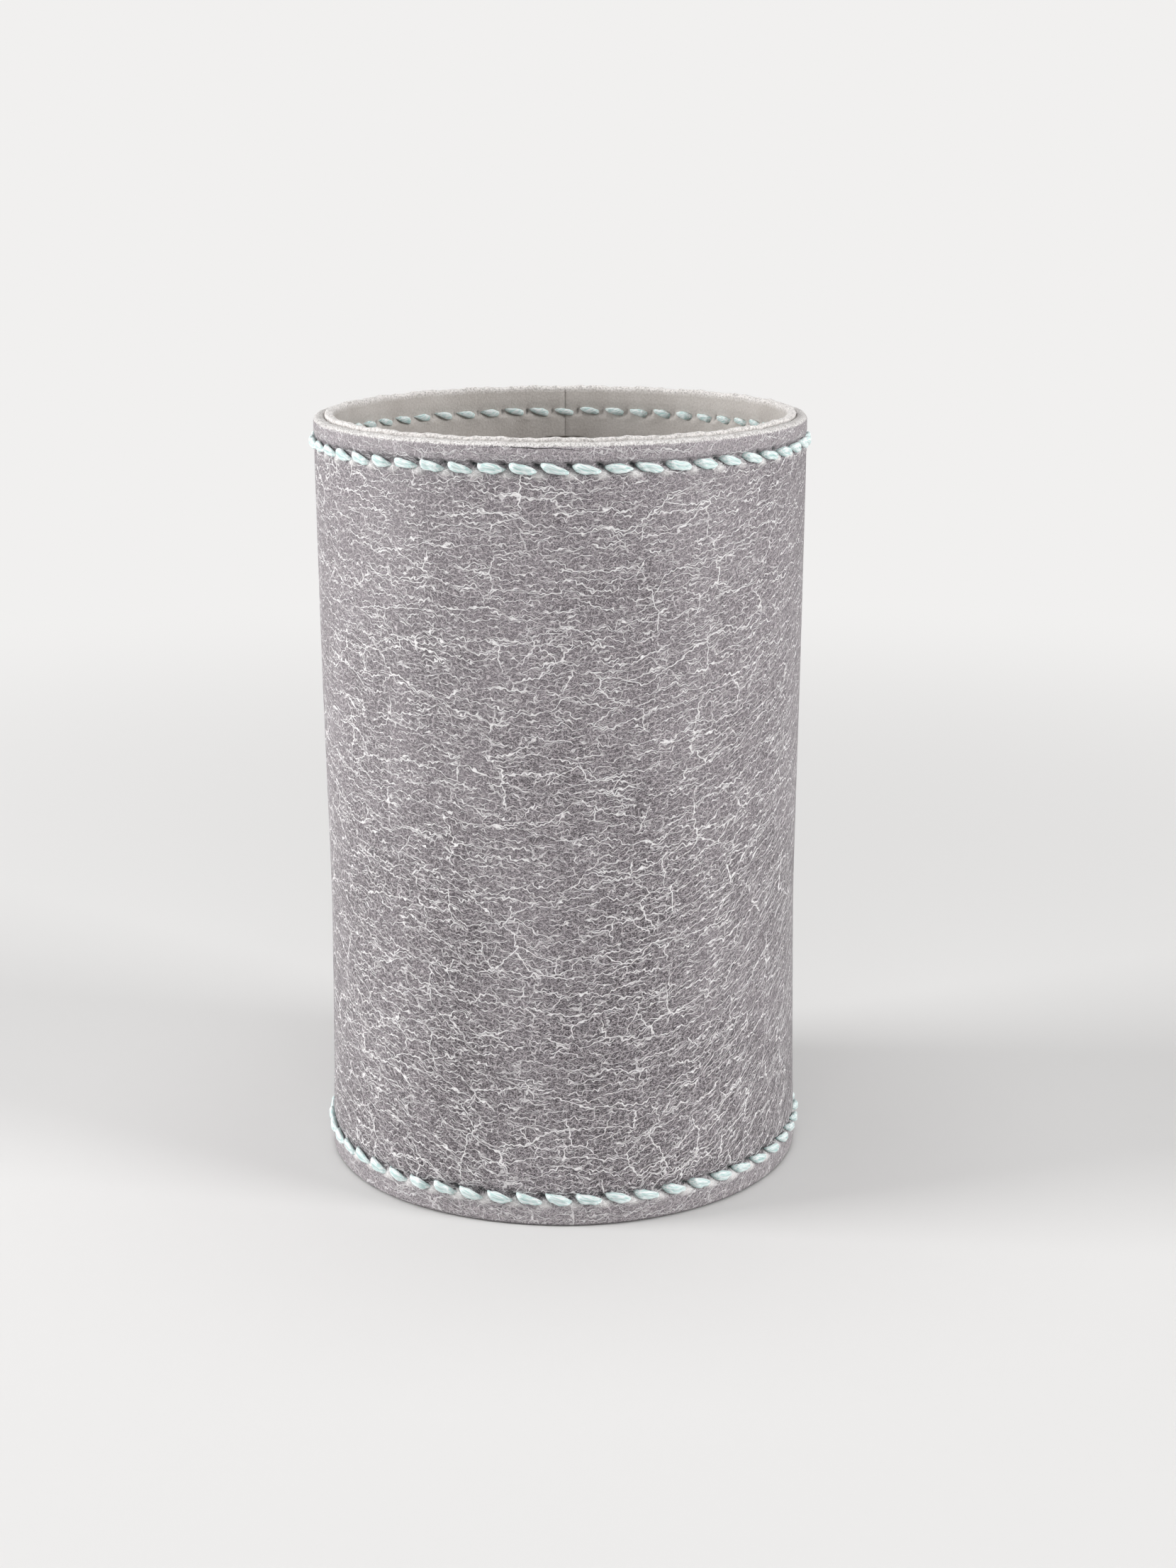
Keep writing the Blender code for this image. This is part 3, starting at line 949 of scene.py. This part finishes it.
raw_fibre, tree, shader = start_finish("raw_leather_fibre_cut")
where = add_node(tree, "ShaderNodeTexCoord")
patchy = add_node(
    tree, "ShaderNodeTexNoise", {"Vector": where.outputs["Object"], "Scale": 900.0, "Detail": 2.0}
)
pale = add_node(tree, "ShaderNodeValToRGB", {0: patchy.outputs[0]})
for stop, at, code in zip(pale.color_ramp.elements, (0.35, 0.60), ("DED9D6", "FDFBF9")):
    stop.position, stop.color = at, linear(code)
tree.links.new(pale.outputs[0], shader.inputs["Base Color"])
shader.inputs["Roughness"].default_value = 0.9
finish_piece(fibres, "cut_edge_fibres", raw_fibre, "pale_suede_lining")

# %% [markdown]
# ## One saddle stitch
# Saddle stitching puts a plump stitch over the leather between every two slits. It
# leaves the left slit high and goes into the right one low, so each stitch leans. The
# left end is blunt and the right end is thin. A sphere has its two poles where a stitch
# has its ends, so a sphere is stretched into one. Three strands twist along it.

# %% Shape of a stitch


def stitch(segments, rings, half_length, lean, swell, thick, stand, side):
    """Points in mm: along the row, up, and out from the wall, with the strand's turn."""
    bpy.ops.object.select_all(action="DESELECT")
    bpy.ops.mesh.primitive_uv_sphere_add(segments=segments, ring_count=rings, radius=1.0)
    made = bpy.context.object
    ball = points_of(made)
    along = ball[:, 2]
    turn = np.arctan2(ball[:, 1], ball[:, 0])
    left = along < 0
    body = (1 - np.abs(along) ** np.where(left, 2.8, 1.6)) ** np.where(left, 0.60, 0.90)
    crease = np.abs(np.sin(1.5 * turn - 0.9 * half_length * along + 0.5 * np.sin(4 * along)))
    body = body * (1 - 0.16 * (1 - crease) ** 2)
    dive = 0.75 * np.abs(along) ** 5
    across = half_length * np.where(left, -0.94, 1.06) * np.abs(along) ** 0.92
    up = -lean * along + swell * body * np.sin(turn)
    out = side * (stand - dive + thick * body * np.cos(turn))
    set_points(made, np.stack((across, up, out), -1))
    # Painted shade: the lines between the strands, both ends, the underside and a little of the
    # top of each stitch are stored under crease and painted darker.
    tip = np.clip((np.abs(along) - 0.90) / 0.09, 0, 1)
    under = np.clip(-np.sin(turn) - 0.45, 0, 1) + 0.5 * np.clip(np.sin(turn) - 0.75, 0, 1)
    store(made, "crease", np.maximum((1 - crease) ** 2, 1.6 * tip) + 1.4 * under)
    only(made)
    bpy.ops.object.mode_set(mode="EDIT")
    face_outwards()
    bpy.ops.object.shade_smooth()
    return made


def stitch_row(name, line, row, lean, plump, seed):
    """52 stitches outside and 52 inside, each its own copy, joined into one thread."""
    outside = stitch(20, 24, 1.86, lean, plump, 0.44, 0.26, 1)
    inside = stitch(14, 14, 1.60, -0.25, 0.50, 0.34, 0.18, -1)
    luck = np.random.default_rng(seed)
    copies = []
    for number in range(STITCHES):
        for model, deep in ((outside, 0.0), (inside, LINING_DEPTH)):
            copy = model.copy()
            copy.data = model.data.copy()
            bpy.context.scene.collection.objects.link(copy)
            across, up, out = points_of(copy).T
            size, tip, sway = luck.uniform(0.92, 1.06), luck.normal(0, 0.04), luck.normal(0, 0.05)
            lump = 1 + 0.09 * np.sin(2.2 * across + luck.uniform(0, 6))
            lump = lump + 0.05 * np.sin(5.1 * across + 3 * up + luck.uniform(0, 6))
            angle = number * STITCH_ANGLE
            angle = angle + SHIFTS[row][number] * 0.4 / FLAT_RADIUS + across / FLAT_RADIUS
            height = line + up * size * lump + tip * across + sway
            radius = wall_radius(line) - deep + out * size * lump
            set_points(copy, on_wall(angle, radius, height))
            away = 9.0 * (len(copies) + 1)
            store(copy, "lie", np.stack((across + away, up + 0.3 * across, out), -1))
            copies.append(copy)
    for model in (outside, inside):
        bpy.data.objects.remove(model)
    only(*copies)
    bpy.ops.object.join()
    made = bpy.context.object
    made.name = name
    return made


top_row = stitch_row("top_row", TOP_ROW, "top", 0.32, 0.62, 3)
bottom_row = stitch_row("bottom_row", BOTTOM_ROW, "bottom", 0.44, 0.68, 4)

# %% [markdown]
# ## Waxed thread
# Waxed polyester thread is smooth and a little shiny, with a fine line where two strands
# meet. Those lines, both ends and the underside of each stitch are painted darker, as
# the shade that falls there.

# %% Thread
thread, tree, shader = start_finish("mint_polyester_thread_waxed")
crease = add_node(tree, "ShaderNodeAttribute", attribute_name="crease").outputs["Fac"]
lie = add_node(tree, "ShaderNodeAttribute", attribute_name="lie").outputs["Vector"]
drawn_out = add_node(
    tree, "ShaderNodeVectorMath", {0: lie, 1: (0.9, 5.5, 5.5)}, operation="MULTIPLY"
).outputs[0]
fibre = add_node(
    tree,
    "ShaderNodeTexNoise",
    {"Vector": drawn_out, "Scale": 1.0, "Detail": 3.0, "Roughness": 0.6},
).outputs[0]
tone = add_node(tree, "ShaderNodeValToRGB", {0: fibre})
for stop, at, code in zip(tone.color_ramp.elements, (0.36, 0.56), ("C0E0DD", "FBFFFF")):
    stop.position, stop.color = at, linear(code)
# Painted shade: the stored lines, ends and underside of the stitches are painted dark teal.
painted_thread_shade = add_node(
    tree, "ShaderNodeMath", {0: crease, 1: 0.50}, operation="MULTIPLY", use_clamp=True
).outputs[0]
painted = layered(tree, tone.outputs[0], ((painted_thread_shade, linear("6F9A96")),))
tree.links.new(painted, shader.inputs["Base Color"])
bump = add_node(tree, "ShaderNodeBump", {"Height": fibre, "Strength": 0.7, "Distance": 0.00018})
tree.links.new(bump.outputs[0], shader.inputs["Normal"])
shader.inputs["Roughness"].default_value = 0.48
shader.inputs["IOR"].default_value = 1.48
finish_piece(top_row, "top_saddle_stitches", thread, "mint_waxed_thread", "top_stitching")
finish_piece(bottom_row, "bottom_saddle_stitches", thread, "mint_waxed_thread", "bottom_stitching")

# %% [markdown]
# ## Lacing up the back seam
# One thread closes the seam. It slants over the joint outside, goes in through a hole,
# runs level behind the joint and comes out again a turn higher. It is a curve with a
# three-lobed section that is tilted along its length, which twists the strands.

# %% Lacing
OUTSIDE, INSIDE = 0.55, -1.9     # how far the thread's middle stands off the wall's outside
STEP = 0.30                      # from one point of the route to the next
LOBE_POINTS, LOBE_DEPTH = 18, 0.16
TWIST = 0.62                     # radians from one point to the next
corners = []
for turn in range(TURNS):
    low, high = INSET + turn * RISE, INSET + (turn + 1) * RISE
    for across, level, stand in (
        (HALF_SPAN, low, INSIDE),
        (HALF_SPAN, low, OUTSIDE),
        (-HALF_SPAN, high, OUTSIDE),
        (-HALF_SPAN, high, INSIDE),
    ):
        radius = float(wall_radius(level))
        dip = math.sqrt(radius**2 - across**2)
        corners.append((across, dip + stand, level))
corners = np.array(corners)
route = []
for first, last in zip(corners, corners[1:]):
    steps = max(5, int(np.linalg.norm(last - first) / STEP))
    for share in np.arange(steps) / steps:
        route.append(first + (last - first) * share)
route = np.array(route + [corners[-1]])
for _ in range(3):
    route[1:-1] = (route[:-2] + 2 * route[1:-1] + route[2:]) / 4
lengths = np.linalg.norm(np.diff(route, axis=0), axis=1)
print("the lacing is", round(float(lengths.sum())), "mm long")

bpy.ops.object.select_all(action="DESELECT")
bpy.ops.curve.primitive_nurbs_circle_add(radius=1.0)
lobes = bpy.context.object
lobes.data.splines.clear()
outline = lobes.data.splines.new("POLY")
outline.points.add(LOBE_POINTS - 1)
outline.use_cyclic_u = True
for i, point in enumerate(outline.points):
    turn = 2 * math.pi * i / LOBE_POINTS
    reach = THREAD_RADIUS * MM * (1 - LOBE_DEPTH * (1 - abs(math.cos(1.5 * turn))) ** 2)
    point.co = (reach * math.cos(turn), reach * math.sin(turn), 0, 1)
bpy.ops.object.select_all(action="DESELECT")
bpy.ops.curve.primitive_nurbs_path_add(radius=1.0)
cord = bpy.context.object
cord.data.splines.clear()
run = cord.data.splines.new("POLY")
run.points.add(len(route) - 1)
for i, (point, spot) in enumerate(zip(run.points, route)):
    point.co = (*(spot * MM), 1)
    point.tilt = TWIST * i
cord.data.bevel_mode = "OBJECT"
cord.data.bevel_object = lobes
cord.data.use_fill_caps = True
only(cord)
bpy.ops.object.convert(target="MESH")
lacing = bpy.context.object
bpy.data.objects.remove(lobes)
bpy.ops.object.mode_set(mode="EDIT")
bpy.ops.mesh.select_all(action="SELECT")
bpy.ops.mesh.remove_doubles(threshold=1e-6)
face_outwards()
bpy.ops.object.shade_smooth()
lie = 1000 * points_of(lacing)
store(lacing, "crease", np.zeros(len(lie)))
store(lacing, "lie", lie)
finish_piece(lacing, "back_seam_lacing", thread, "mint_waxed_thread", "seam_lacing")

# %% [markdown]
# ## Floor, light and camera
# The floor is a plain pale disc that fades to the white of the world, so that only the
# sleeve's own soft shadow shows. Only the camera sees that fading, so it lights nothing.

# %% Floor
BACKDROP, PAPER = "F1F0EF", "E9E8E7"
FADE_START, FADE_END = 0.09, 0.40
bpy.ops.object.select_all(action="DESELECT")
bpy.ops.mesh.primitive_circle_add(vertices=96, radius=3.0, fill_type="NGON")
floor = bpy.context.object
floor.name = "studio_floor"
paper = bpy.data.materials.new("pale_paper_floor")
paper.use_nodes = True
tree = paper.node_tree
tree.nodes.clear()
where = add_node(tree, "ShaderNodeTexCoord")
away = add_node(tree, "ShaderNodeVectorMath", {0: where.outputs["Object"]}, operation="LENGTH")
fade = add_node(
    tree,
    "ShaderNodeMapRange",
    {0: away.outputs["Value"], 1: FADE_START, 2: FADE_END},
    interpolation_type="SMOOTHSTEP",
)
ray = add_node(tree, "ShaderNodeLightPath")
share = add_node(
    tree,
    "ShaderNodeMath",
    {0: fade.outputs[0], 1: ray.outputs["Is Camera Ray"]},
    operation="MULTIPLY",
)
matt = add_node(tree, "ShaderNodeBsdfDiffuse", {"Color": linear(PAPER)})
white = add_node(tree, "ShaderNodeEmission", {"Color": linear(BACKDROP), "Strength": 1.0})
mixed = add_node(
    tree, "ShaderNodeMixShader", {0: share.outputs[0], 1: matt.outputs[0], 2: white.outputs[0]}
)
add_node(tree, "ShaderNodeOutputMaterial", {0: mixed.outputs[0]})
floor.data.materials.append(paper)
print("floor fades out from", FADE_START, "to", FADE_END, "m")

# %% [markdown]
# Light as in a small product studio: two low softboxes at the sides draw the two edges
# of the sleeve, one high in front fills, and one overhead lays the shadow under it. Area
# lights are softboxes. The world adds a little light from everywhere, and the camera
# sees it as the backdrop.

# %% Light
scene = bpy.context.scene
scene.view_settings.view_transform = "Standard"
world = bpy.data.worlds.new("studio")
scene.world = world
world.use_nodes = True
tree = world.node_tree
tree.nodes.clear()
ray = add_node(tree, "ShaderNodeLightPath")
seen = add_node(
    tree,
    "ShaderNodeMath",
    {0: ray.outputs["Is Camera Ray"], 1: ray.outputs["Is Transmission Ray"]},
    operation="MAXIMUM",
)
soft = add_node(tree, "ShaderNodeBackground", {"Color": linear("FFFFFF"), "Strength": 0.10})
white = add_node(tree, "ShaderNodeBackground", {"Color": linear(BACKDROP), "Strength": 1.0})
mixed = add_node(
    tree, "ShaderNodeMixShader", {0: seen.outputs[0], 1: soft.outputs[0], 2: white.outputs[0]}
)
add_node(tree, "ShaderNodeOutputWorld", {0: mixed.outputs[0]})

MIDDLE = Vector((0, 0, 0.05))
for name, place, wide, tall, power in (
    ("left_softbox", (-0.83, -0.12, 0.22), 0.36, 0.60, 8.6),
    ("right_softbox", (0.77, -0.33, 0.22), 0.30, 0.60, 6.2),
    ("front_softbox", (0.00, -0.80, 0.85), 0.70, 0.70, 1.6),
    ("top_softbox", (0.00, 0.05, 1.10), 0.80, 0.80, 5.2),
):
    bpy.ops.object.light_add(type="AREA", location=place)
    lamp = bpy.context.object
    lamp.name = lamp.data.name = name
    lamp.data.shape = "RECTANGLE"
    lamp.data.size, lamp.data.size_y = wide, tall
    lamp.data.energy = power
    lamp.rotation_euler = (MIDDLE - Vector(place)).to_track_quat("-Z", "Y").to_euler()
    print(name, "gives", power, "W")

# %% [markdown]
# The camera was solved from the edges in the photograph: how far away, how high and how
# much it looks down. The whole set-up is turned a degree about the sleeve, so that the
# stitches fall where they do in the photograph.

# %% Camera
FOCAL, DISTANCE, RAISED = 3516.08, 323.98, 136.13
PITCH, ROLL, YAW = 0.260278, -0.002401, 0.010722
TURN = math.radians(1.3)
PHOTO_TALL, SENSOR = 2212, 36.0          # pixels, and mm
flat = math.cos(PITCH)
forward = Vector((math.sin(YAW) * flat, math.cos(YAW) * flat, -math.sin(PITCH)))
right = Vector((math.cos(YAW), -math.sin(YAW), 0))
upward = right.cross(forward)
tilted_right = right * math.cos(ROLL) + upward * math.sin(ROLL)
tilted_up = upward * math.cos(ROLL) - right * math.sin(ROLL)
pose = Matrix.Identity(4)
for column, axis in enumerate((tilted_right, tilted_up, -forward)):
    for line in range(3):
        pose[line][column] = axis[line]
pose.translation = Vector((0, -DISTANCE, RAISED)) * MM
camera = bpy.data.objects.new("camera", bpy.data.cameras.new("camera"))
scene.collection.objects.link(camera)
camera.matrix_world = Matrix.Rotation(TURN, 4, "Z") @ pose
camera.data.sensor_width = SENSOR
camera.data.lens = FOCAL / PHOTO_TALL * SENSOR
camera.data.clip_start, camera.data.clip_end = 0.01, 20.0
scene.camera = camera
print("lens", round(camera.data.lens, 2), "mm")
